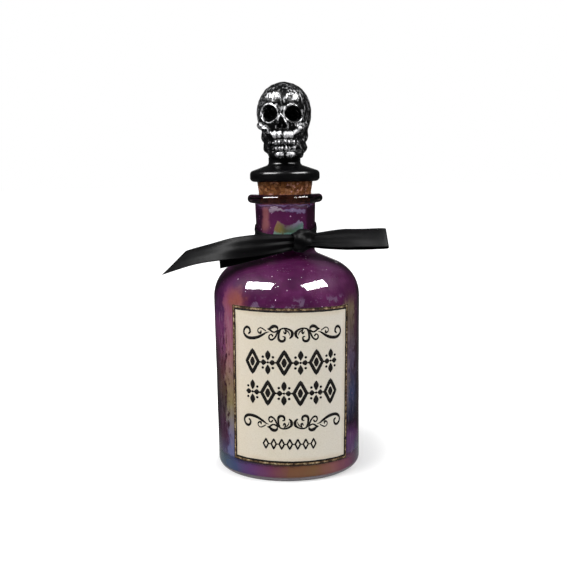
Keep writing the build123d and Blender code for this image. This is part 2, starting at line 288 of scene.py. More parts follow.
punt_arc = [
    Vector((ring_inner_radius * math.sin(a * math.pi / 2), punt_depth * (1 - a**2)))
    for a in np.arange(12) / 12
]
outside = [
    (ring_inner_radius, 0), (foot_radius, 0), (body_radius, body_height),
    (neck_radius, neck_root_z), (neck_radius + neck_flare, lip_bottom_z),
    (lip_radius, lip_bottom_z), (lip_radius, bottle_height), (mouth_radius, bottle_height),
    (bore_radius, mouth_seat_z),
]
outside_rounds = [heel_round, shoulder_round, neck_root_round, mouth_round]
outside = rounded(outside, outside_rounds + [lip_round, lip_round, mouth_round])
bottle_outline = punt_arc + outside + inside_outline(wall, mouth_seat_z - 1)[::-1]

lustre_glass, tree = new_material("lustred_soda_glass")
spot, across, deep, up = place_on()
round_it = node("Math ARCTAN2", across, node("Math MULTIPLY", deep, -1.0))
# the lustre greys the clear glass a little, and most where it lies thick, round the lip
cloud = node("TexNoise", spot, 1 / 9, 3.0, 0.55)
greyed = node("ValToRGB", cloud, stops={0.3: "#D2C6D8", 0.55: "#E4DCE6", 0.75: "#DAD4D2"})
lip_greyed = node("ValToRGB", cloud, stops={0.3: "#54445C", 0.5: "#6A5A54", 0.7: "#564C66"})
# round the foot it lies so thick that it hides the glass; its colours there, running round
# the foot, are painted reflections of the floor
turned_share = node("MapRange", node("Math MULTIPLY_ADD", cloud, 0.3, round_it), -1.25, 1.55)
foot_painted_reflection = node("ValToRGB", turned_share, stops={
    0.0: "#2A3E4E", 0.08: "#2E4C60", 0.2: "#34406E", 0.31: "#5C2E6C", 0.42: "#703250",
    0.5: "#784A30", 0.62: "#7C5432", 0.72: "#8A5050", 0.84: "#6E3250", 0.94: "#3C1C44",
})
behind = shown_within((node("Math ABSOLUTE", round_it), 1.6, 2.6))
foot_painted_reflection = laid_over(foot_painted_reflection, (behind, "#3A2A48"))
at_foot = node("Math MULTIPLY_ADD", cloud, 3, up)
at_foot = shown_within((at_foot, 14, 9), (at_foot, 4.0, 4.8))
foot_reflection_share = node("MapRange", at_foot, 0, 0.2)
# a pale painted highlight lies on the heel's lowest curve, and nearly black painted shade
# on the rim on the table
heel = shown_within((up, 3.6, 2.8), (up, 1.2, 1.8), of=0.7)
painted_foot_shade = shown_within((up, 1.5, 1.0))
greyed = laid_over(greyed, (shown_within((up, 149.5, 151.5)), lip_greyed), (foot_reflection_share, foot_painted_reflection))
greyed = laid_over(greyed, (heel, "#94868A"), (painted_foot_shade, "#1C0C18"))
hidden = node("Math MAXIMUM", node("Math MAXIMUM", at_foot, painted_foot_shade), heel)
clear = node("MapRange", hidden, 0, 1, 1, 0.15)
# the mould leaves ripples some 6 mm apart, a few hundredths of a millimetre deep
ripple = node("TexNoise", spot, 1 / 6, 1.5)
ripples = node("Bump", {"Height": ripple, "Distance": 0.06 * mm, "Strength": 0.45})
# seeds and grit under the skin lift it in domes 1 mm wide, most of them on the shoulder
seeds = node("TexVoronoi", spot, 1 / 6).outputs
on_shoulder = node("MapRange SMOOTHSTEP", up, 98, 106, 0.2, 0.75)
picked = node("Math LESS_THAN", node("SeparateXYZ", seeds["Color"]), on_shoulder)
seed = shown_within((seeds["Distance"], 0.17, 0.02), of=picked)
ripples = node("Bump", {"Height": seed, "Distance": 0.45 * mm, "Strength": 1.0, "Normal": ripples})
glass = {
    "Base Color": greyed, "Roughness": 0.015, "IOR": 1.52, "Transmission Weight": clear,
    "Normal": ripples,
}
node("OutputMaterial", node("BsdfPrincipled", glass))
bottle_glass = turned(
    "bottle_glass", bottle_outline, lustre_glass, dent=lambda spot: 0.10 * noise.noise(spot / 16)
)
bottle_glass.visible_shadow = False
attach(bottle_glass, "bottle")
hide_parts("glass_bottle")


# Purple coat.
# Translucent purple lacquer, swilled round inside the glass and baked. It clings to the
# inner face from the floor up into the neck, a little uneven. Painted into its colour are
# the lustre's coloured reflections, shade at the body's and neck's edges, and glints.
coat_sink, coat_thickness, coat_top = 0.15, 0.2, 150.3

purple_lacquer, tree = new_material("purple_lacquer")
spot, across, deep, up = place_on()
round_it = node("Math ARCTAN2", across, node("Math MULTIPLY", deep, -1.0))
# lacquer that ran thick or thin, in clouds some 20 mm wide
run = node("TexNoise", spot, 1 / 20, 4.0, 0.6)
stops = {0.28: "#3A1034", 0.5: "#521A47", 0.66: "#642858", 0.8: "#481640"}
tint = node("ValToRGB", run, stops=stops)
# the edges of the lustre and of the painted reflections and shade wander by some 3 mm, with
# frayed ends of half a millimetre
wander = node("TexNoise", spot, 1 / 7, 5.0, 0.65)
wandering = node("Math SUBTRACT", wander, 0.5)
turned_to = node("Math MULTIPLY_ADD", wandering, 0.3, round_it)
risen_to = node("Math MULTIPLY_ADD", wandering, 9, up)


def lustre_and_light_patch(turns, heights, blurs, strength):
    """How much of a patch shows, of lustre, painted reflection and painted shade alike: between two
    turns (degrees) and two heights (mm).
    """
    edges = []
    for value, ends, blur, unit in (
        (turned_to, turns, blurs[0], math.radians(1)), (risen_to, heights, blurs[1], 1)
    ):
        for edge, half in zip(ends, (blur / 2, -blur / 2)):
            edges.append((value, (edge - half) * unit, (edge + half) * unit))
    return shown_within(*edges, of=strength)


def painted_reflection_run(stops):
    """The colours of a painted lustre reflection up a strip, from stops at heights in millimetres.
    """
    share = node("MapRange", risen_to, 5, 105)
    return node("ValToRGB", share, stops={(z - 5) / 100: code for z, code in stops.items()})


# painted lustre reflections: a lighter and a darker run of colours at each side of the label
left_reflection_light = painted_reflection_run({
    12: "#5C6694", 24: "#7C7A92", 33: "#8A8472", 42: "#94885A", 54: "#947E62",
    62: "#98726A", 70: "#A06E6E", 84: "#9C6276", 95: "#92526A",
})
left_reflection_dark = painted_reflection_run({
    12: "#33305A", 20: "#45203E", 30: "#43263C", 38: "#423C34", 50: "#54402A",
    62: "#5E3038", 72: "#743A60", 84: "#6E3060", 92: "#46164A", 100: "#4C1A48",
})
right_reflection_light = painted_reflection_run({
    12: "#5E3670", 20: "#683E72", 28: "#200A24", 34: "#26304A", 44: "#3C4A6C",
    54: "#4A4860", 66: "#5E5268", 80: "#665A50", 93: "#7E7256",
})
right_reflection_dark = painted_reflection_run({
    12: "#3A3A5E", 20: "#5A2E5C", 28: "#180A1C", 36: "#1E2C38", 46: "#2A3450",
    58: "#3C2C44", 70: "#42283A", 84: "#4A2838", 98: "#4E2440",
})
# turns in degrees, heights in millimetres, their blurs, how strong, and the colour
lustre_and_light_patches = [
    # painted reflections of the lustre beside the label, darker and lighter at each side
    ((-92, -44), (-5, 112), (8, 14), 0.92, left_reflection_dark),
    ((-59, -38), (-5, 102), (4, 12), 0.95, left_reflection_light),
    ((52, 80), (-5, 102), (5, 10), 0.92, right_reflection_dark),
    ((51, 68), (-5, 96), (4, 8), 0.95, right_reflection_light),
    # a grey-lilac painted reflection on the right shoulder
    ((36, 88), (113, 123), (20, 8), 0.5, "#7A6078"),
    ((-200, 200), (109, 124), (10, 10), 0.32, "#38102F"),
    ((76, 84), (12, 100), (4, 12), 0.6, "#5C2850"),
    # an orange painted reflection on the left shoulder
    ((-53, -37), (94, 103), (13, 9), 0.8, "#945640"),
    # painted shade down the body's left and right edges
    ((-104, -71), (16, 74), (9, 22), 0.85, "#200A1C"),
    ((74, 98), (22, 104), (8, 12), 0.9, "#140610"),
    # a painted highlight strip beside the label's right edge
    ((49, 58), (36, 80), (4, 12), 0.65, "#8C7E7A"),
    # the neck: painted shade at its sides, painted reflections in a salmon band and in lilac lines,
    # a painted highlight line, and a dark line of painted shade just below the lip
    ((-120, 120), (128, 151), (20, 8), 0.6, "#431638"),
    ((-92, -56), (128, 151), (12, 6), 0.9, "#240A20"),
    ((50, 92), (128, 151), (14, 6), 0.9, "#200818"),
    ((-56, -38), (136, 148), (11, 6), 0.68, "#8A5850"),
    ((-36, 48), (145.6, 147.3), (6, 0.8), 0.75, "#7C7494"),
    ((-36, -2), (145.6, 147.3), (6, 0.8), 0.6, "#8E827E"),
    ((-34, -17), (147.8, 148.3), (3, 0.4), 0.8, "#B8A8B4"),
    ((-90, 90), (148.6, 149.1), (3, 0.5), 0.8, "#1C0E2A"),
    ((-70, 70), (149.5, 150.5), (9, 0.5), 0.7, "#5A4E72"),
]
for *patch, colour in lustre_and_light_patches:
    tint = laid_over(tint, (lustre_and_light_patch(*patch), colour))
# the lustre ran down in streaks 0.7 mm wide and some 8 mm long, lighter and darker
streaks = node("Mapping", {"Vector": spot, "Scale": (1 / 0.9, 1 / 0.9, 1 / 8)})
streaks = node("TexNoise", streaks, 1.0, 4.0, 0.7)
for start, full, colour in ((0.52, 0.68, "#A08A92"), (0.48, 0.36, "#281420")):
    for turns in ((-72, -40), (50, 74)):
        strip = lustre_and_light_patch(turns, (-5, 98), (10, 16), 0.36)
        tint = laid_over(tint, (shown_within((streaks, start, full), of=strip), colour))
# dark beads where the lacquer has crept through the strips, taller than wide
beads = node("Mapping", {"Vector": spot, "Scale": (1 / 2.2, 1 / 2.2, 1 / 5)})
beads = node("TexNoise", beads, 1.0, 4.0, 0.6)
for turns, heights in (((-68, -54), (22, 80)), ((64, 74), (56, 92))):
    strip = lustre_and_light_patch(turns, heights, (6, 10), 0.95)
    tint = laid_over(tint, (shown_within((beads, 0.54, 0.6), of=strip), "#2E0E1A"))
# the green painted reflection at the front of the neck, whose upper edge is torn
green_reflection_turn = node("MapRange", turned_to, -0.54, 0.74)
green_reflection_top = node("ValToRGB", green_reflection_turn, stops={
    0.02: "#000000", 0.07: "#ACACAC", 0.17: "#E4E4E4", 0.27: "#D2D2D2", 0.4: "#C2C2C2",
    0.55: "#C8C8C8", 0.7: "#D8D8D8", 0.82: "#E8E8E8", 0.93: "#CCCCCC", 0.98: "#000000",
})
green_reflection_top = node("MapRange", green_reflection_top, 0, 1, 132.5, 143)
green_reflection_in = node("Math SUBTRACT", green_reflection_top, risen_to)
green_reflection = shown_within((green_reflection_in, -0.3, 0.6), (up, 132, 133), of=0.85)
green_reflection_tint = node("ValToRGB", green_reflection_turn, stops={
    0.05: "#7C6638", 0.25: "#6E6A2C", 0.42: "#4A5434", 0.65: "#4A6C50", 0.9: "#56806E",
})
green_reflection_high = node("ValToRGB", green_reflection_turn, stops={
    0.1: "#8A6E58", 0.3: "#6A5A50", 0.55: "#766C78", 0.85: "#8C849C",
})
green_reflection_tint = laid_over(green_reflection_tint, (shown_within((risen_to, 136, 140)), green_reflection_high))
green_reflection_tint = laid_over(green_reflection_tint, (shown_within((risen_to, 135, 133.6), of=0.7), "#5E9C8C"))
# grey scuffs in the lacquer above the label, and large loose patches of the left strip's painted
# lustre reflection behind
scuff = lustre_and_light_patch((-34, 52), (96, 101.5), (8, 4), 0.6)
scuff = shown_within((wander, 0.52, 0.6), of=scuff)
behind = node("MapRange", node("Math ABSOLUTE", round_it), 1.6, 2.1, 0, 0.75)
loose = shown_within((node("TexNoise", spot, 1 / 38, 3.0), 0.48, 0.66), of=behind)
# mica flakes of about half a millimetre, drawn a little coarse so that they show, and painted
# glints of up to a millimetre, most of them over the shoulder
flake = node("MapRange", node("TexVoronoi", spot, 1 / 0.9), 0.10, 0.22, 1, 0)
flaked = node("Math MULTIPLY", flake, node("MapRange", run, 0.5, 0.62, 0, 0.5))
glint_cells = node("TexVoronoi", spot, 1 / 2.6).outputs
chance = node("SeparateXYZ", glint_cells["Color"]).outputs
glint_density = node("MapRange SMOOTHSTEP", up, 104, 118, 0.08, 0.5)
glint_density = node("Math LESS_THAN", chance[0], glint_density)
painted_glint = node("Math MULTIPLY", node("MapRange", glint_cells[0], 0.07, 0.17, 1, 0), glint_density)
glint_tone = node("ValToRGB", chance[1], stops={0.1: "#6E3E68", 0.6: "#A87C9C", 0.9: "#DCBCD0"})
tint = laid_over(tint, (green_reflection, green_reflection_tint), (scuff, "#86758E"), (loose, left_reflection_light))
tint = laid_over(tint, (flaked, "#A06C94"), (painted_glint, glint_tone))
lacquer = {
    "Base Color": tint, "Roughness": 0.38, "IOR": 1.5, "Specular IOR Level": 0.08,
    "Normal": node("Bump", {"Height": flake, "Distance": 0.05 * mm, "Strength": 0.5}),
}
node("OutputMaterial", node("BsdfPrincipled", lacquer))

coat_faces = [inside_outline(wall - coat_sink + out, coat_top) for out in (0, coat_thickness)]
coat = turned("purple_coat", coat_faces[0] + coat_faces[1][::-1], purple_lacquer)
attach(coat, "bottle")


# Paper label.
# A sheet of aged cream paper, cut a little unevenly and glued round the front of the body,
# slightly turned and slightly crooked. Handling has browned it along its edges.
label_width, label_height, label_bottom, label_thickness = 71.4, 86.4, 10.1, 0.25
label_turn, label_lean, glue_film = math.radians(2.8), math.radians(1.2), 0.1
label_rows, label_columns = 109, 91


def on_label(along, up, lift):
    """A place on the label, in millimetres from its middle, as a point round the body."""
    turn = label_turn + (along * math.cos(label_lean) + up * math.sin(label_lean)) / body_radius
    z = label_bottom + label_height / 2 - along * math.sin(label_lean) + up * math.cos(label_lean)
    ripple = 0.05 * noise.noise(Vector((along / 9, up / 9, 4.0))) - 0.05
    radius = foot_radius + body_taper * z / body_height + glue_film + lift + ripple
    return Vector((radius * math.sin(turn), -radius * math.cos(turn), z))


def net(rows, across, joined=False, first=0):
    """The faces of a net of points, whose last row may be joined to its first."""
    faces = []
    for i in range(rows if joined else rows - 1):
        low, high = first + i * across, first + (i + 1) % rows * across
        faces += [(low + j, high + j, high + j + 1, low + j + 1) for j in range(across - 1)]
    return faces


aged_paper, tree = new_material("aged_rag_paper")
printed, along, up, _ = place_on(node("UVMap", uv_map="print"))
from_side = node("Math SUBTRACT", label_width / 2, node("Math ABSOLUTE", along))
from_end = node("Math SUBTRACT", label_height / 2, node("Math ABSOLUTE", up))
from_edge = node("Math MINIMUM", from_side, from_end)
# stains as wide as a fingertip, and fibres a few tenths of a millimetre across
stain = node("TexNoise", printed, 1 / 17, 4.0, 0.6)
fibre = node("TexNoise", printed, 1 / 0.9, 3.0, 0.7)
stops = {0.3: "#CFC6B0", 0.46: "#D8CFBE", 0.6: "#D8D2C6", 0.74: "#E0D4BA"}
tone = node("ValToRGB", stain, stops=stops)
# it has yellowed more at its left
place = node("MapRange", along, -label_width / 2, label_width / 2)
stops = {0.04: "#ECDEC8", 0.3: "#DCD3C0", 0.65: "#D8D3C6", 0.96: "#E2DDD6"}
yellowed = node("ValToRGB", place, stops=stops)
fibre_tone = node("ValToRGB", fibre, stops={0.3: "#B9AC94", 0.5: "#D6CDBC", 0.7: "#E6DECE"})
# the browned edge, and the tan wash printed between the two border lines
browned = node("Math SUBTRACT", from_edge, node("Math MULTIPLY_ADD", stain, 9, -2.5))
rub = node("TexNoise", printed, 1 / 2.6, 4.0, 0.7)
stops = {0.38: "#281C14", 0.48: "#5C4632", 0.56: "#8E7654", 0.68: "#C8B694"}
wash = (shown_within((from_edge, 1.9, 1.7)), node("ValToRGB", rub, stops=stops))
tone = laid_over(tone, (0.6, yellowed), (0.28, fibre_tone))
tone = laid_over(tone, (shown_within((browned, 3.5, 0.0), of=0.3), "#BFA67C"), wash)
sheet_skin = {
    "Base Color": tone, "Roughness": 0.8, "IOR": 1.45, "Specular IOR Level": 0.12,
    "Normal": node("Bump", {"Height": fibre, "Distance": 0.04 * mm, "Strength": 0.5}),
}
node("OutputMaterial", node("BsdfPrincipled", sheet_skin))

points, places = [], []
for t in np.linspace(-1, 1, label_rows):
    for s in np.linspace(-1, 1, label_columns):
        along, up = s * label_width / 2, t * label_height / 2
        # the cut wanders by a tenth of a millimetre
        along += (0.12 * noise.noise(Vector((0, up / 6, 3 * s))) - 0.1 * s) * abs(s) ** 12
        up += (0.12 * noise.noise(Vector((along / 6, 0, 3 * t))) - 0.1 * t) * abs(t) ** 12
        points.append(on_label(along, up, label_thickness))
        places.append((along * mm, up * mm))
faces = [(a, d, c, b) for a, b, c, d in net(label_rows, label_columns)]
sheet = new_piece("label_sheet", points, faces, aged_paper)
layer = sheet.data.uv_layers.new(name="print")
for loop in sheet.data.loops:
    layer.data[loop.index].uv = places[loop.vertex_index]
thick = sheet.modifiers.new("thickness", "SOLIDIFY")
thick.thickness, thick.offset = 0.16 * mm, -1.0
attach(sheet, "bottle")
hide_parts("paper_label")


# Label print.
# Black ink, pressed on from a block: two border lines, a scroll at the top and at the bottom,
# and between them two bold rows and one fine row of lozenges and four-petalled flowers.
ink_height = 0.03
scroll_middle, top_scroll, foot_scroll = 0.85, 29.6, -19.8
bold_rows, bold_first, bold_step = (13.6, -3.1), -22.0, 8.85
fine_row, fine_first, fine_step = -31.2, -14.2, 4.4
# each stroke of the scroll's left half: across from the middle, up, and the stroke's width
scroll_strokes = {
    "stem": [
        (-25.1, -1.0, 0.8), (-24.3, -0.2, 0.9), (-24.4, 1.1, 1.0), (-25.1, 2.1, 1.1),
        (-26.2, 2.4, 1.2), (-27.5, 1.7, 1.05), (-28.2, 0.3, 0.9), (-28.2, -1.0, 0.95),
        (-27.5, -2.1, 1.15), (-26.3, -3.0, 1.3), (-24.6, -3.4, 1.4), (-22.6, -3.3, 1.4),
        (-20.4, -2.8, 1.35), (-18.5, -2.0, 1.2), (-16.6, -0.9, 1.0), (-14.9, 0.2, 0.65),
        (-13.3, 0.6, 0.2),
    ],
    "curl": [
        (-17.8, 0.9, 0.5), (-18.0, -0.1, 1.0), (-18.8, -0.2, 0.8), (-19.6, 0.6, 0.55),
        (-19.4, 1.8, 0.5), (-18.2, 2.6, 0.5), (-16.9, 2.2, 0.6), (-15.2, 1.2, 0.5),
    ],
    "leaf_top": [
        (-14.4, 2.1, 0.2), (-12.9, 2.5, 1.0), (-11.5, 3.5, 1.4), (-10.1, 3.8, 1.4),
        (-9.0, 3.2, 1.15), (-8.6, 2.2, 0.5),
    ],
    "leaf_foot": [
        (-14.1, 2.0, 0.2), (-12.7, 1.6, 0.8), (-11.7, 0.9, 0.8), (-10.5, 0.6, 0.7),
        (-9.3, 1.1, 0.8), (-8.6, 1.9, 0.45),
    ],
    "arch": [
        (-11.4, -1.5, 0.8), (-11.9, -0.8, 0.7), (-12.8, -0.9, 0.6), (-13.4, -1.9, 0.7),
        (-13.1, -3.1, 0.8), (-12.1, -3.6, 0.85), (-10.9, -3.1, 0.8), (-9.8, -1.8, 0.8),
        (-9.1, -0.3, 0.85), (-8.4, 0.9, 0.9), (-7.3, 2.1, 0.75), (-5.8, 2.7, 0.7),
        (-4.0, 2.6, 0.8), (-2.4, 2.0, 0.9), (-1.2, 1.0, 1.2), (-0.9, -0.2, 1.4),
        (-1.2, -1.5, 1.15), (-2.1, -2.5, 0.75),
    ],
    "volute": [
        (-5.8, -1.7, 0.5), (-4.9, -2.0, 0.75), (-4.8, -2.9, 0.95), (-5.3, -3.9, 1.1),
        (-6.3, -4.3, 1.15), (-7.5, -4.0, 1.2), (-8.2, -2.9, 1.1), (-8.2, -1.5, 0.95),
        (-7.9, 0.3, 0.75), (-7.2, 1.7, 0.5),
    ],
    "bud": [
        (-5.5, 0.9, 0.4), (-4.9, 0.0, 0.85), (-4.3, 0.5, 0.8), (-4.5, 1.5, 0.6),
        (-5.0, 2.4, 0.5),
    ],
    "vein": [(-4.4, 1.9, 0.35), (-3.3, 1.1, 0.6), (-2.6, 0.1, 0.5), (-2.3, -1.0, 0.25)],
}


def smooth_way(stations, count):
    """Stations joined by a smooth line: rows of numbers, evenly spaced, and its length."""
    s = np.array(stations, float)
    s = np.concatenate([[2 * s[0] - s[1]], s, [2 * s[-1] - s[-2]]])
    fine = [
        b + 0.5 * t * (c - a) + t * t * (a - 2.5 * b + 2 * c - 0.5 * d)
        + t**3 * (1.5 * (b - c) + 0.5 * (d - a))
        for a, b, c, d in zip(s, s[1:], s[2:], s[3:])
        for t in np.linspace(0, 1, 24, endpoint=False)
    ]
    fine = np.array(fine + [s[-2]])
    spots = fine[:, : min(3, fine.shape[1] - 1)]
    run = np.concatenate([[0], np.cumsum(np.linalg.norm(np.diff(spots, axis=0), axis=1))])
    places = np.linspace(0, run[-1], count)
    return np.stack([np.interp(places, run, column) for column in fine.T], 1), run[-1]


ink_points, ink_faces = [], []


def ink_strip(rows, shares, closed=False):
    """Adds ink through rows of place, way and half width, with points at shares across it."""
    ink_faces.extend(net(len(rows), len(shares), closed, len(ink_points)))
    for spot, way, half in rows:
        for share in shares:
            at = spot + Vector((-way.y, way.x)) * (share * half)
            ink_points.append(on_label(at.x, at.y, label_thickness + ink_height))


def ink_line(line, closed=False):
    """Adds one printed line through (across, up, width) rows, with round ends or closed."""
    line = [Vector(row) for row in line]
    rows, last = [], len(line) - 1
    for n, row in enumerate(line):
        before = line[n - 1] if closed or n else row
        after = line[n + 1] if n < last else line[0] if closed else row
        rows.append((row.xy, (after - before).xy.normalized(), row.z / 2))
    if not closed:
        for n, sign in ((0, -1), (-1, 1)):
            spot, way, half = rows[n]
            ends = [(math.sin(a), math.cos(a)) for a in (0.5, 1.0, 1.4)]
            ends = [(spot + way * (sign * half * out), way, half * wide) for out, wide in ends]
            rows = rows + ends if n else ends[::-1] + rows
    worn = [1 + 0.10 * noise.noise(Vector((p.x / 1.2, p.y / 1.2, 9))) for p, _, _ in rows]
    ink_strip([(p, way, half * w) for (p, way, half), w in zip(rows, worn)], (-1, 0, 1), closed)


def ink_frame(inset, width):
    """A printed rectangle with sharp corners, a little way in from the label's edge."""
    x, y = label_width / 2 - inset, label_height / 2 - inset
    corners = [Vector(c) for c in ((-x, -y), (x, -y), (x, y), (-x, y))]
    for a, b in zip(corners, corners[1:] + corners[:1]):
        way = (b - a).normalized()
        steps = max(2, round((b - a).length / 1.5))
        rows = []
        for i in range(steps + 1):
            spot = (a - way * (width / 2)).lerp(b + way * (width / 2), i / steps)
            worn = 1 + 0.35 * noise.noise(Vector((spot.x / 3, spot.y / 3, inset)))
            rows.append((spot, way, width / 2 * worn))
        ink_strip(rows, (-1, 1))


def lozenge(x, y, half_width, half_height, width):
    """A printed lozenge outline with softened corners."""
    ring = []
    for i in range(48):
        c, s = math.cos(math.tau * i / 48), math.sin(math.tau * i / 48)
        size = 1 / (abs(c) + abs(s))
        ring.append((x + half_width * c * size, y + half_height * s * size, width))
    ink_line(ring, closed=True)


def dot(x, y, size):
    """A printed dot."""
    ink_line([(x - size * 0.02, y, size), (x + size * 0.02, y, size)])


def flower(x, y, half_width, half_height, fat):
    """A printed flower: four petals round a dot, with four seeds between them."""
    petal = ((0.2, 0.15), (0.34, 0.62), (0.52, 1.0), (0.68, 1.0), (0.84, 0.62), (0.98, 0.08))
    for across, up in ((half_width, 0), (0, half_height), (-half_width, 0), (0, -half_height)):
        ink_line(smooth_way([(x + across * s, y + up * s, fat * w) for s, w in petal], 20)[0])
    dot(x, y, fat * 0.45)
    for across in (-1, 1):
        for up in (-1, 1):
            dot(x + across * half_width * 0.68, y + up * half_height * 0.44, fat * 0.5)


ink_frame(0.35, 0.4)
ink_frame(2.0, 1.0)
for side in (-1, 1):
    for flip, height in ((1, top_scroll), (-1, foot_scroll)):
        for stroke in scroll_strokes.values():
            way = [(scroll_middle - side * x, height + flip * y, 1.2 * w) for x, y, w in stroke]
            ink_line(smooth_way(way, 10 * len(stroke))[0])
for row, height in enumerate(bold_rows):
    for i in range(6):
        x = bold_first + bold_step * i
        if (i + row) % 2:
            flower(x, height, 4.1, 6.7, 2.9)
        else:
            lozenge(x, height, 3.5, 6.2, 1.9)
            lozenge(x, height, 0.8, 1.9, 1.5)
        if i < 5:
            dot(x + 4.42, height, 1.1)
for i in range(7):
    lozenge(fine_first + fine_step * i, fine_row, 1.4, 2.7, 0.95)
    if i < 6:
        dot(fine_first + fine_step * (i + 0.5), fine_row, 0.8)

black_ink, tree = new_material("letterpress_ink")
# the ink sits on the paper's tooth, so that it is thin in specks under half a millimetre
speck = node("TexNoise", place_on()[0], 1 / 0.8, 3.0, 0.7)
stops = {0.3: "#0A0807", 0.62: "#14100E", 0.74: "#2C251F", 0.85: "#5B4E40"}
ink = {
    "Base Color": node("ValToRGB", speck, stops=stops),
    "Roughness": 0.7, "IOR": 1.5, "Specular IOR Level": 0.12,
    "Normal": node("Bump", {"Height": speck, "Distance": 0.02 * mm, "Strength": 0.4}),
}
node("OutputMaterial", node("BsdfPrincipled", ink))

print_ink = new_piece("label_print", ink_points, ink_faces, black_ink)
thick = print_ink.modifiers.new("thickness", "SOLIDIFY")
thick.thickness, thick.offset = 0.06 * mm, -1.0
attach(print_ink, "bottle")


# Cork stopper.
# A tapered stopper of agglomerate cork: granules of bark some 2 mm across, bound with glue,
# pressed and turned. It is pushed into the mouth and its upper third stands proud.
cork_top_z, cork_top_radius, cork_length = 162.226, 15.6, 22.0
cork_slope, cork_chamfer = math.tan(math.radians(7.5)), 0.8
cork_foot_z = cork_top_z - cork_length


def cork_dent(spot):
    """How far glue seams, open pores and the cut of the granules sink the cork's skin."""
    gaps = noise.voronoi(spot / 1.9)[0]
    seam = max(0, 0.22 - (gaps[1] - gaps[0])) / 0.22
    pit = max(0, noise.noise(spot / 1.1 + Vector((5, 1, 2))) - 0.28) / 0.5
    return -0.10 * seam - 0.55 * min(1, pit) - 0.06 * abs(noise.noise(spot / 0.5))


cork_outline = [(0, cork_foot_z)]
for up in np.linspace(0, cork_length, 89):
    radius = cork_top_radius - (cork_length - up) * cork_slope - max(0, cork_chamfer - up) * 0.9
    cork_outline.append((radius, cork_foot_z + up))
cork_outline.append((0, cork_top_z))

pressed_cork, tree = new_material("agglomerate_cork")
spot = place_on()[0]
shifted = node("TexNoise", spot, 1 / 1.5, 2.0).outputs[1]
shifted = node("VectorMath MULTIPLY_ADD", shifted, (0.7, 0.7, 0.7), spot)
granule = node("SeparateXYZ", node("TexVoronoi", shifted, 1 / 1.9).outputs["Color"])
tone = node("ValToRGB", granule, stops={
    0.0: "#4E2A12", 0.3: "#6E4222", 0.55: "#865631", 0.75: "#966644", 0.88: "#B07A62",
    1.0: "#C8928A",
})
glue = node("TexVoronoi DISTANCE_TO_EDGE", shifted, 1 / 1.9)
pore = shown_within((node("TexNoise", spot, 1.0, 4.0, 0.65), 0.56, 0.68), of=0.85)
tone = laid_over(tone, (shown_within((glue, 0.14, 0), of=0.55), "#4A280E"), (pore, "#2A1406"))
cork_skin = {
    "Base Color": tone, "Roughness": 0.82, "IOR": 1.45, "Specular IOR Level": 0.1,
    "Normal": node("Bump", {"Height": pore, "Distance": -0.25 * mm, "Strength": 0.7}),
}
node("OutputMaterial", node("BsdfPrincipled", cork_skin))

cork = turned("cork", cork_outline, pressed_cork, 240, cork_dent)
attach(cork, "stopper")
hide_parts("cork_stopper")


# Skull topper.
# One casting in black resin: a flange, a waisted stem and a skull, with a peg below that is
# glued into the cork. It is dipped in black gloss, and silver is dry-brushed on the skull.
flange_radius, flange_height, flange_rise = 19.65, 5.7, 3.7
stem_radius, stem_round, skull_seat = 8.9, 2.0, 12.6
skull_turn, face_lean, face_lean_height = -3.0, -0.1, 12.6
peg_radius, peg_length = 4.0, 11.0
voxel = 0.25
skull_base_z = cork_top_z + skull_seat

low_corner = np.array([-17.0, -19.5, -5.5])
counts = np.array([136, 160, 196])
grid = [low_corner[n] + voxel * np.arange(counts[n]) for n in range(3)]
skull_field = np.full(counts, 9.0, np.float32)
silver_field = np.zeros(counts, np.float32)


def near(centre, reach):
    """The block of the grid within a reach of a point, as slices and its three axes."""
    first = np.clip(np.floor((centre - reach - low_corner) / voxel).astype(int), 0, counts - 1)
    last = np.clip(np.ceil((centre + reach - low_corner) / voxel).astype(int) + 1, 1, counts)
    block = tuple(slice(a, b) for a, b in zip(first, last))
    return block, np.ix_(*(axis[part] for axis, part in zip(grid, block)))


def leaned(place, lean=True):
    """A place on the skull, moved with the face's lean to one side."""
    x, y, z = place
    return np.array([x + face_lean * (z - face_lean_height) * lean, y, z])


def shape(block, gap, blend, cut=False, silver=0.0):
    """Adds a form to the bone, or cuts it out, over a soft seam, with the silver it takes."""
    sign = -1 if cut else 1
    old, new = sign * skull_field[block], gap.astype(np.float32)
    share = np.clip(0.5 + 0.5 * (old - new) / blend, 0, 1)
    skull_field[block] = sign * (old * (1 - share) + new * share - blend * share * (1 - share))
    if cut:
        silver_field[block] *= np.clip(gap / 0.35, 0, 1)
    else:
        left = silver * np.clip(1.2 - gap / 0.45, 0, 1)
        silver_field[block] = np.maximum(silver_field[block], left)


def lump(centre, half, blend=1.0, tilt=(0, 0, 0), cut=False, lean=True, silver=0.0):
    """A stretched ball of bone added to the skull, or a hollow cut from it."""
    centre = leaned(centre, lean)
    block, axes = near(centre, max(half) + 2.5 * blend + 1)
    spin = np.array(Euler([math.radians(t) for t in tilt]).to_matrix().inverted())
    off = [axis - middle for axis, middle in zip(axes, centre)]
    spread = [sum(w * o for w, o in zip(way, off)) / h for way, h in zip(spin, half)]
    near_one = np.sqrt(sum(p**2 for p in spread)) + 1e-9
    slope = np.sqrt(sum((p / h) ** 2 for p, h in zip(spread, half))) + 1e-9
    shape(block, near_one * (near_one - 1) / slope, blend, cut, silver)


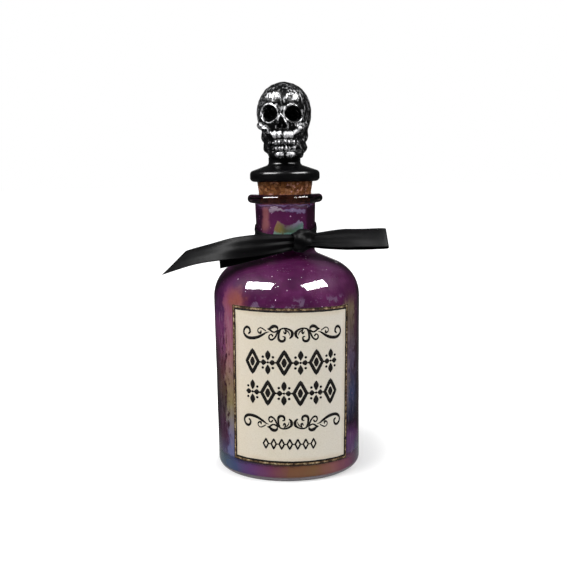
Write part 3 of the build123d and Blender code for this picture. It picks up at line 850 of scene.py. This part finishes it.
def ridge(points, radii, blend=0.8, cut=False, lean=True, silver=0.0):
    """A tapering ridge of bone along a few points, or a groove."""
    points = [leaned(p, lean) for p in points]
    for a, b, thick, thin in zip(points, points[1:], radii, radii[1:]):
        along, reach = b - a, max(thick, thin) + 2.5 * blend + 1
        block, axes = near((a + b) / 2, np.linalg.norm(along) / 2 + reach)
        off = [axis - start for axis, start in zip(axes, a)]
        share = np.clip(sum(o * w for o, w in zip(off, along)) / along.dot(along), 0, 1)
        gap = np.sqrt(sum((o - w * share) ** 2 for o, w in zip(off, along)))
        shape(block, gap - thick - (thin - thick) * share, blend, cut, silver)


def raised_line(places, radius, silver):
    """A thin raised line that follows the face through places given as (across, up)."""
    line = []
    for across, up in places:
        x = across + face_lean * (up - face_lean_height)
        i, _, k = np.round((np.array([x, 0, up]) - low_corner) / voxel).astype(int)
        line.append((x, low_corner[1] + voxel * np.argmax(skull_field[i, :, k] < 0), up))
    ridge(line, [radius] * len(line), 0.45, lean=False, silver=silver)


sides = (-1, 1)
# braincase: two broad halves, the brow's dome and the back of the head
for side in sides:
    lump((side * 1.85, 2.1, 25.2), (13.3, 17.5, 16.8), 2.0, lean=False)
lump((0.3, -6.5, 31.5), (11.0, 9.5, 8.6), 2.5, lean=False)
lump((0.2, 11.0, 20.5), (9.5, 7.6, 8.5), 3.0, lean=False)
# face: the block under the brow, the upper jaw and the lower jaw
lump((0, -4.5, 18.2), (12.2, 10.4, 10.4), 2.5)
lump((0, -8.6, 10.6), (6.8, 6.4, 6.2), 2.0)
lump((0, -1.6, 7.2), (10.4, 11.6, 7.4), 2.0)
for side in sides:
    # the hollow behind the upper jaw, the hollow under the cheekbone and the temple
    lump((side * 9.8, -12.4, 10.4), (4.0, 4.4, 4.2), 1.4, (0, 0, side * 28), cut=True)
    lump((side * 14.2, -4.6, 14.2), (3.0, 6.4, 3.4), 1.6, cut=True)
    lump((side * 17.0, -7.6, 25.0), (2.6, 7.0, 5.4), 2.2, cut=True)
    # the cheekbone sweeps round from the temple and down to the upper jaw
    cheekbone = [(10.8, 1.4, 19.8), (11.9, -7.0, 18.4), (9.4, -11.4, 16.2), (6.0, -13.7, 13.4)]
    cheekbone = [(side * x, y, z) for x, y, z in cheekbone]
    ridge(cheekbone, (0.7, 1.7, 1.5, 0.7), 1.2, silver=0.8)
    # jaw: its branch behind, its angle, and its body towards the chin's two lobes
    ridge([(side * 9.9, 1.6, 13.0), (side * 9.8, 0.2, 5.8)], (1.9, 2.1), 1.6)
    jaw = [(side * 9.8, 0.2, 5.8), (side * 7.8, -7.0, 2.4), (side * 4.6, -10.8, 2.2)]
    ridge(jaw, (2.1, 1.7, 1.7), 1.6)
    lump((side * 2.75, -12.9, 2.2), (2.7, 2.3, 2.2), 0.8, silver=0.82)
    lump((side * 1.9, -13.7, 3.6), (1.7, 1.4, 1.0), 0.6, silver=0.86)
    # the edge of the chewing muscle's bed, and the knob behind the ear
    edge = [(side * 7.4, -11.6, 9.3), (side * 8.4, -10.0, 7.6), (side * 9.4, -6.4, 4.0)]
    ridge(edge, (0.4, 0.55, 0.4), 0.7, silver=0.6)
    lump((side * 10.8, 5.8, 12.6), (2.4, 3.2, 3.8), 1.8, lean=False)
# bridge of the nose, and the roots of the upper teeth with a pit between each two
ridge([(0, -14.9, 27.2), (0, -15.4, 25.4)], (1.2, 0.8), 1.2, silver=0.5)
for across, half in ((-4.3, 1.5), (-1.7, 1.3), (1.7, 1.35), (4.4, 1.55)):
    lump((across, -14.8 + across**2 * 0.045, 12.8), (half, 1.2, 2.1), 0.6, silver=0.9)
for across in (-3.0, 0.0, 3.1):
    lump((across, -16.2 + across**2 * 0.045, 12.6), (0.45, 0.9, 1.3), 0.3, cut=True)
# eye sockets: a thin raised rim, then a deep hollow that faces a little outwards
for side, across, up, wide, tall in ((-1, -6.1, 24.5, 5.1, 4.5), (1, 6.9, 24.1, 5.0, 4.3)):
    rim_line = []
    for i in range(33):
        a = math.tau * i / 32
        droop = -0.3 * math.cos(2 * a) - side * 0.4 * math.cos(a)
        x = across + (wide * math.cos(math.radians(27)) + 0.3) * math.cos(a)
        rim_line.append((x, up + (tall + 0.3) * math.sin(a) + droop))
    raised_line(rim_line, 0.38, 1.0)
    centre = (across, -13.2, up)
    lump(centre, (wide, 6.2, tall), 0.35, (0, side * 9, side * 27), cut=True)
    lump((side * 5.9, -10.2, up - 0.4), (2.6, 4.6, 2.7), 0.8, cut=True)
# nose: a thin raised edge, then a dark opening shaped as a heart on its head
for side in sides:
    edge = [(0.2, 23.9), (0.2 + side, 22.4), (0.1 + side * 2.2, 19.6), (0.1 + side * 3.4, 16.8)]
    raised_line(edge, 0.36, 1.05)
for depth, size in ((-15.4, 1.4), (-13.6, 1.25)):
    for side in sides:
        opening = [(0.2, depth - 0.4, 22.4), (0.1 + side * 1.55, depth, 17.4)]
        ridge(opening, (0.5, size), 0.3, cut=True)
# a hollow runs round under each row of teeth, and the mouth's slit lies between the rows
for height, size in ((10.6, 0.5), (7.3, 0.75), (4.2, 0.6)):
    turns = np.radians(range(-80, 81, 16))
    arch = [(6.6 * math.sin(a), -9.6 - 5.7 * math.cos(a), height) for a in turns]
    ridge(arch, [size] * len(arch), 0.4, cut=True)
# teeth: eight above and eight below, each a rounded peg set into the arch
for height, half in ((8.9, 1.2), (5.7, 1.15)):
    for i in range(8):
        a = math.radians((i - 3.5) * 15.5)
        spot = (6.7 * math.sin(a), -9.5 - 5.7 * math.cos(a), height - 0.4 * (1 - math.cos(a)))
        size = (0.70 + 0.08 * ((i * 7) % 3 - 1), 0.9, half + 0.15 * ((i * 5) % 3 - 1))
        lump(spot, size, 0.15, (0, 0, math.degrees(a)), silver=0.62 + 0.15 * ((i * 5) % 3))
# the stem runs up into the skull's base
block, (x, y, z) = near(np.array([0.0, 0.0, 0.0]), 12.0)
stem_gap = np.maximum(np.sqrt(x**2 + y**2) - (stem_radius - 0.4), np.abs(z + 1.0) - 5.0)
shape(block, stem_gap, 1.6)

# the casting's skin: knocks and pits of some 4 and 1.5 mm, sunk by tenths of a millimetre
dice = np.random.default_rng(11)


def rough(size):
    """Smooth random values over the grid, with lumps of a size in millimetres."""
    values = dice.uniform(-1, 1, [int(n * voxel / size) + 3 for n in counts]).astype(np.float32)
    for axis in range(3):
        place = np.arange(counts[axis]) * voxel / size
        low = place.astype(int)
        share = (place - low) ** 2 * (3 - 2 * (place - low))
        share = share.astype(np.float32).reshape([-1 if n == axis else 1 for n in range(3)])
        values = np.take(values, low, axis) * (1 - share) + np.take(values, low + 1, axis) * share
    return values


skull_field += 0.22 * rough(4.2) + 0.17 * rough(1.5)
volume = openvdb.FloatGrid(background=9.0)
volume.copyFromArray(skull_field)
skin, quads = volume.convertToQuads(isovalue=0.0)
skull_points = low_corner + voxel * skin
across, back, height = skull_points.T

# how far each point stands proud of the bone round it, from the share of bone in a box
reach, soft_bone = 5, (skull_field < 0).astype(np.float32)
for axis in (0, 1, 2, 0, 1, 2):
    margins = [(reach + 1, reach) if n == axis else (0, 0) for n in range(3)]
    summed = np.cumsum(np.pad(soft_bone, margins, mode="edge"), axis)
    first = np.arange(counts[axis])
    soft_bone = np.take(summed, first + 2 * reach + 1, axis) - np.take(summed, first, axis)
    soft_bone /= 2 * reach + 1
cell = tuple(np.clip(np.round(skin).astype(int), 0, counts - 1).T)
buried = soft_bone[cell]
proud = np.clip((0.52 - buried) / 0.16, 0, 1)

black_gloss, tree = new_material("gloss_black_resin")
dips = node("TexNoise", place_on()[0], 1 / 2.5, 3.0)
gloss = {
    "Base Color": node("ValToRGB", dips, stops={0.35: "#030304", 0.7: "#09090A"}),
    "Roughness": 0.24, "IOR": 1.5, "Specular IOR Level": 0.35,
    "Normal": node("Bump", {"Height": dips, "Distance": 0.10 * mm, "Strength": 0.4}),
}
node("OutputMaterial", node("BsdfPrincipled", gloss))

silver_brushed, tree = new_material("silver_brushed_resin")
spot = place_on()[0]
silver_share = node("Attribute", attribute_name="silver").outputs["Fac"]
# the brush was dragged down, so its marks are about 1 mm wide and some 4 mm long
marks = node("Mapping", {"Vector": spot, "Scale": (1 / 1.2, 1 / 1.2, 1 / 3.6)})
marks = node("TexNoise", marks, 1.0, 4.0, 0.7)
blot = node("TexNoise", spot, 1 / 2.6, 3.0, 0.65)
load = node("Math MULTIPLY_ADD", marks, 2.6, silver_share)
silvered = shown_within((node("Math MULTIPLY_ADD", blot, 1.2, load), 2.38, 2.76))
stops = {0.0: "#050506", 0.25: "#1E1E20", 0.6: "#747476", 1.0: "#C6C6C8"}
brushed = {
    "Base Color": node("ValToRGB", silvered, stops=stops),
    "Roughness": node("MapRange", silvered, 0, 1, 0.28, 0.42),
    "Metallic": node("MapRange", silvered, 0.2, 0.8, 0, 0.55),
    "IOR": 1.5, "Specular IOR Level": 0.25,
    "Normal": node("Bump", {"Height": marks, "Distance": 0.12 * mm, "Strength": 0.5}),
}
node("OutputMaterial", node("BsdfPrincipled", brushed))

spin = np.array(Euler((0, 0, math.radians(skull_turn))).to_matrix())
placed = skull_points @ spin.T + (0, 0, skull_base_z)
skull = new_piece("skull", placed.tolist(), quads.tolist(), silver_brushed)
# where the dry brush went besides: across, up, their half widths and how much silver
touches = [
    (-6.4, 33.7, 6.6, 2.6, 0.9), (5.8, 33.4, 5.4, 2.6, 0.88), (-11.2, 30.8, 2.4, 2.8, 0.66),
    (0.2, 35.6, 3.2, 2.6, 0.56), (-5.6, 38.2, 5.4, 2.8, 0.72), (5.4, 38.0, 5.4, 2.8, 0.7),
    (0.4, 40.4, 7.0, 2.2, 0.68), (11.2, 31.4, 1.6, 2.6, 0.55), (1.9, 27.0, 1.3, 1.4, 1.0),
    (-2.0, 29.2, 1.0, 1.0, 0.7), (-10.0, 17.5, 2.6, 1.3, 0.95), (10.6, 17.8, 3.0, 1.9, 1.2),
    (-8.6, 19.4, 2.6, 0.8, 0.62), (8.0, 19.2, 2.4, 0.9, 0.66), (3.6, 10.6, 3.4, 0.9, 0.7),
    (9.2, 9.0, 1.3, 0.9, 0.95), (-3.4, 12.6, 2.4, 1.6, 0.95), (3.6, 12.8, 2.6, 1.6, 1.0),
    (-3.2, 2.4, 2.4, 1.6, 0.9), (3.4, 2.8, 2.6, 1.8, 0.95), (0.2, 1.6, 1.6, 1.0, 0.85),
]
face_across = across - face_lean * (height - face_lean_height) * (height < 30)
silver = np.zeros(len(skull_points))
for x, z, half_x, half_z, amount in touches:
    gap = ((face_across - x) / half_x) ** 2 + ((height - z) / half_z) ** 2
    silver = np.maximum(silver, amount * np.exp(-0.5 * gap**1.5))
silver = np.maximum(silver * np.interp(back, [-12, -3], [1.0, 0.0]), silver_field[cell])
# a last dry stroke over the sides and the back, which only the knocks that stand proud catch
strokes = np.interp(back, [-14, -9, 0, 17], [0.38, 0.62, 0.52, 0.46])
strokes *= np.interp(height, [3, 12, 34, 43], [0.4, 0.9, 1.0, 0.7])
strokes *= 1 - np.clip((buried - 0.53) / 0.06, 0, 1)
silver = np.maximum(silver * (0.7 + 0.3 * proud), strokes * (0.8 + 0.2 * proud))
silver *= np.interp(height, [-3, 0.5, 2], [0.0, 0.4, 1.0])
layer = skull.data.attributes.new("silver", "FLOAT", "POINT")
layer.data.foreach_set("value", silver.astype(np.float32))

stem_foot_z = cork_top_z + flange_height + flange_rise
flange_outline = [
    (0, cork_top_z - peg_length), (peg_radius, cork_top_z - peg_length),
    (peg_radius, cork_top_z), (flange_radius, cork_top_z),
    (flange_radius, cork_top_z + flange_height), (stem_radius, stem_foot_z),
    (stem_radius, skull_base_z + 1.0), (0, skull_base_z + 1.0),
]
flange_outline = rounded(flange_outline, [0.6, 0.3, 2.394, 2.394, stem_round, 0.5])
topper = turned(
    "topper_flange", flange_outline, black_gloss, dent=lambda spot: 0.25 * noise.noise(spot / 9)
)
for piece in (topper, skull):
    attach(piece, "stopper")
    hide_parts("skull_topper")


# Ribbon, neck band.
# Black double-faced satin, 12 mm wide and woven with a firm edge. One turn of it goes round
# the neck, pulled tight and gathered at the front, where it runs into the knot.
ribbon_width, ribbon_thickness = 12.0, 0.28
band_radius, band_top, band_foot = 17.5, 133.38, 124.28
band_pitch, band_lower_pitch, band_roll = 14.0, 9.5, 1.0


def cloth(name, rows, closed=False):
    """A ribbon sheet from rows of points across it, with its length and width as its UVs."""
    rows = [[Vector(p) for p in row] for row in rows]
    across = len(rows[0])
    faces = net(len(rows), across, closed)
    made = new_piece(name, [p for row in rows for p in row], faces, black_satin)
    runs = [0.0]
    for a, b in zip(rows, rows[1:] + rows[:1]):
        runs.append(runs[-1] + (b[across // 2] - a[across // 2]).length)
    layer = made.data.uv_layers.new(name="cut")
    for face, quad in zip(made.data.polygons, faces):
        i = quad[0] // across
        for loop, point in zip(face.loop_indices, face.vertices):
            row, column = divmod(point, across)
            run = runs[i + 1] if row != i else runs[i]
            layer.data[loop].uv = (run * mm, (column / (across - 1) - 0.5) * ribbon_width * mm)
    thick = made.modifiers.new("thickness", "SOLIDIFY")
    thick.thickness, thick.offset = ribbon_thickness * mm, 0.0
    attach(made, "ribbon")
    return made


black_satin, tree = new_material("black_satin_ribbon")
cut, _, side, _ = place_on(node("UVMap", uv_map="cut"))
# satin's floating threads lie along the ribbon, drawn 0.3 mm apart so that they show
threads = node("TexNoise", node("Mapping", {"Vector": cut, "Scale": (1 / 9, 1 / 0.3, 1)}), 1.0, 2.0)
# the woven edge is a cord 0.7 mm wide
rim = (node("Math ABSOLUTE", side), ribbon_width / 2 - 0.8, ribbon_width / 2 - 0.5)
relief = node("Math MULTIPLY_ADD", shown_within(rim), 1.5, threads)
satin = {
    "Base Color": node("ValToRGB", threads, stops={0.3: "#050506", 0.6: "#0A0A0B", 0.8: "#111113"}),
    "Roughness": node("MapRange", threads, 0.3, 0.7, 0.36, 0.48),
    "IOR": 1.5, "Specular IOR Level": 0.06,
    "Sheen Weight": 0.05, "Sheen Roughness": 0.4, "Sheen Tint": "#B8B8C0",
    "Normal": node("Bump", {"Height": relief, "Distance": 0.05 * mm, "Strength": 0.55}),
}
node("OutputMaterial", node("BsdfPrincipled", satin))

band_rows = []
for i in range(160):
    a = math.tau * i / 160
    x, y = math.sin(a), -math.cos(a)
    foot = band_foot + (y + 1) * band_radius * math.tan(math.radians(band_lower_pitch))
    top = band_top + (y + 1) * band_radius * math.tan(math.radians(band_pitch))
    lean = x * band_radius * math.tan(math.radians(band_roll))
    gather = (1 - y) / 2
    row = []
    for j in range(25):
        s = j / 24
        fold = 0.30 * gather * math.cos(math.tau * (s * 2.5 + 0.12 * math.sin(2 * a)))
        fold += 0.35 * noise.noise(Vector((3 * x, 3 * y, s * 2.0)))
        radius = band_radius - 0.05 + max(-0.2, fold)
        z = foot + (top - foot) * s + lean + 0.35 * noise.noise(Vector((2 * x, 2 * y, 7 + s)))
        row.append((x * radius, y * radius, z))
    band_rows.append(row)
band = cloth("ribbon_band", band_rows, closed=True)
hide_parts("ribbon_neck_band")


# Ribbon, knot.
# The ribbon's end goes once over the crossing and is pulled through, so that a short turn
# of satin wraps the gathered strands, creased slantwise where it is drawn tight.
knot_turn, knot_z = math.radians(27), 130.18
knot_width, knot_height, knot_depth, knot_distance = 16.5, 13.4, 6.8, 21.1
knot_out = Vector((math.sin(knot_turn), -math.cos(knot_turn), 0))
knot_along = Vector((math.cos(knot_turn), math.sin(knot_turn), 0))
knot_middle = knot_out * knot_distance + Vector((0, 0, knot_z))

knot_rows = []
for i in range(72):
    a = math.tau * i / 72
    row = []
    for j in range(33):
        p = j / 32 * 2 - 1
        size = 1 - 0.30 * p * p
        crease = 0.45 * math.cos(math.tau * (0.85 * math.sin(a) + 0.42 * p) + 0.7)
        crease += 0.5 * noise.noise(Vector((math.cos(a) * 1.3, math.sin(a) * 1.3, p * 2.2 + 3)))
        flat_side = 1 / max(abs(math.cos(a)), abs(math.sin(a))) ** 0.35
        out = math.cos(a) * (knot_depth / 2 - 0.5) * size * flat_side
        up = math.sin(a) * (knot_height / 2 - 0.75) * size * flat_side * (1 - 0.08 * p)
        spot = knot_middle + knot_out * (out + crease * math.cos(a) * 0.8)
        spot += Vector((0, 0, up + crease * math.sin(a))) + knot_along * (p * knot_width * 0.40)
        row.append(spot)
    knot_rows.append(row)
knot = cloth("ribbon_tie", knot_rows, closed=True)
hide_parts("ribbon_knot")


# Ribbon, tails.
# Both ends leave the knot to the left. The long one crosses the neck, turns its face up and
# droops to a slanting cut, and the short one hangs behind it, cut square.
long_stations = [
    (9.58, -18.80, 130.18, 0, 7.0), (-12.26, -23.87, 128.72, 4, 11.4),
    (-23.96, -23.48, 127.55, 12, 12.0), (-35.66, -21.14, 125.65, 32, 12.0),
    (-52.82, -15.68, 121.57, 50, 12.0), (-68.42, -8.66, 115.58, 50, 12.0),
]
short_stations = [
    (9.58, -17.60, 130.18, 0, 7.0), (-4.46, -20.41, 128.34, 22, 10.2),
    (-16.63, -20.88, 126.04, 24, 12.0), (-27.86, -18.54, 123.28, 22, 12.0),
    (-37.22, -15.26, 120.98, 20, 12.0),
]


def tail_rows(stations, slant, pleat, bow, count):
    """Rows across a tail. A station is a place, a lean and a width; the end is cut aslant."""
    way, length = smooth_way(stations, 400)
    step = length / 399
    rows = []
    for i in range(count):
        row = []
        for j in range(29):
            s = j / 28 * 2 - 1
            reach = (length - slant * (s + 1) / 2) * i / (count - 1)
            k = min(reach / step, 398.0)
            low = int(k)
            x, y, z, lean, width = way[low] + (way[low + 1] - way[low]) * (k - low)
            ahead = Vector(way[min(low + 3, 399)][:3] - way[max(low - 3, 0)][:3]).normalized()
            upright = Vector((0, math.sin(math.radians(lean)), math.cos(math.radians(lean))))
            face = upright.cross(ahead).normalized()
            upright = ahead.cross(face).normalized()
            fade = math.exp(-reach / 16)
            lift = pleat * fade * math.cos(math.tau * (s * 1.3 + 0.3)) + bow(reach / length, s)
            row.append(Vector((x, y, z)) + upright * (s * width / 2) + face * lift)
        rows.append(row)
    return rows


def long_bow(t, s):
    """How the long tail bellies between its edges and ripples along its run."""
    belly = 0.9 * math.sin(math.pi * min(1, t * 1.2)) * (1 - s * s)
    return belly + 0.35 * math.sin(9 * t + 1.4 * s) * t + 0.25 * s * math.sin(17 * t)


def short_bow(t, s):
    """How the short tail bellies and curls a little at its cut end."""
    return 0.5 * math.sin(math.pi * t) * (1 - s * s) + 0.5 * t * t * s


long_rows = tail_rows(long_stations, 14.5, 0.7, long_bow, 110)
long_tail = cloth("ribbon_end_long", long_rows)
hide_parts("ribbon_long_tail")
short_rows = tail_rows(short_stations, 0.8, 0.6, short_bow, 70)
short_tail = cloth("ribbon_end_short", short_rows)
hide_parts("ribbon_short_tail")


# Ribbon, loop.
# The ribbon goes out to the right, folds over on itself and comes back into the knot, so
# that the loop is two layers thick, flat at its fold and bunched at the knot.
loop_reach, loop_belly, loop_fold = 47.3, 1.7, 1.8
loop_heading, loop_tilt, loop_pinch = math.radians(8), math.radians(35), 6.6
loop_ahead = Vector((math.cos(loop_heading), math.sin(loop_heading), 0))
loop_back = Vector((-math.sin(loop_heading), math.cos(loop_heading), 0))
loop_upright = loop_back * math.sin(loop_tilt) + Vector((0, 0, math.cos(loop_tilt)))
loop_face = loop_upright.cross(loop_ahead)
loop_out = [
    (0.0, 0.2, 0), (loop_reach * 0.25, loop_belly * 0.9, 0),
    (loop_reach * 0.5, loop_belly * 1.1, 0), (loop_reach * 0.8, loop_fold * 0.95, 0),
    (loop_reach - 1.6, loop_fold * 0.85, 0),
]
loop_home = [(out, -off, 0) for out, off, _ in loop_out[::-1]]
loop_way = smooth_way(loop_out + [(loop_reach - 0.2, 0.0, 0)] + loop_home, 150)[0]
loop_rows = []
for n, (out, off, _) in enumerate(loop_way):
    side = 1 if n < 75 else -1
    full = min(1.0, out / (loop_reach * 0.5))
    width = loop_pinch + (ribbon_width - loop_pinch) * full**0.8
    row = []
    for j in range(29):
        s = j / 28 * 2 - 1
        pleat = 0.6 * math.exp(-out / 11) * math.cos(math.tau * (s * 1.4 + 0.1 * side))
        ripple = 0.25 * math.sin(0.22 * out + 1.5 * s + side) * math.sin(math.pi * out / loop_reach)
        lift = off * (1 - 0.35 * s * s) + pleat + ripple
        spot = knot_middle + loop_ahead * out + loop_upright * (s * width / 2)
        row.append(spot + loop_face * lift)
    loop_rows.append(row)
loop = cloth("ribbon_bow_loop", loop_rows)
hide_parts("ribbon_loop")
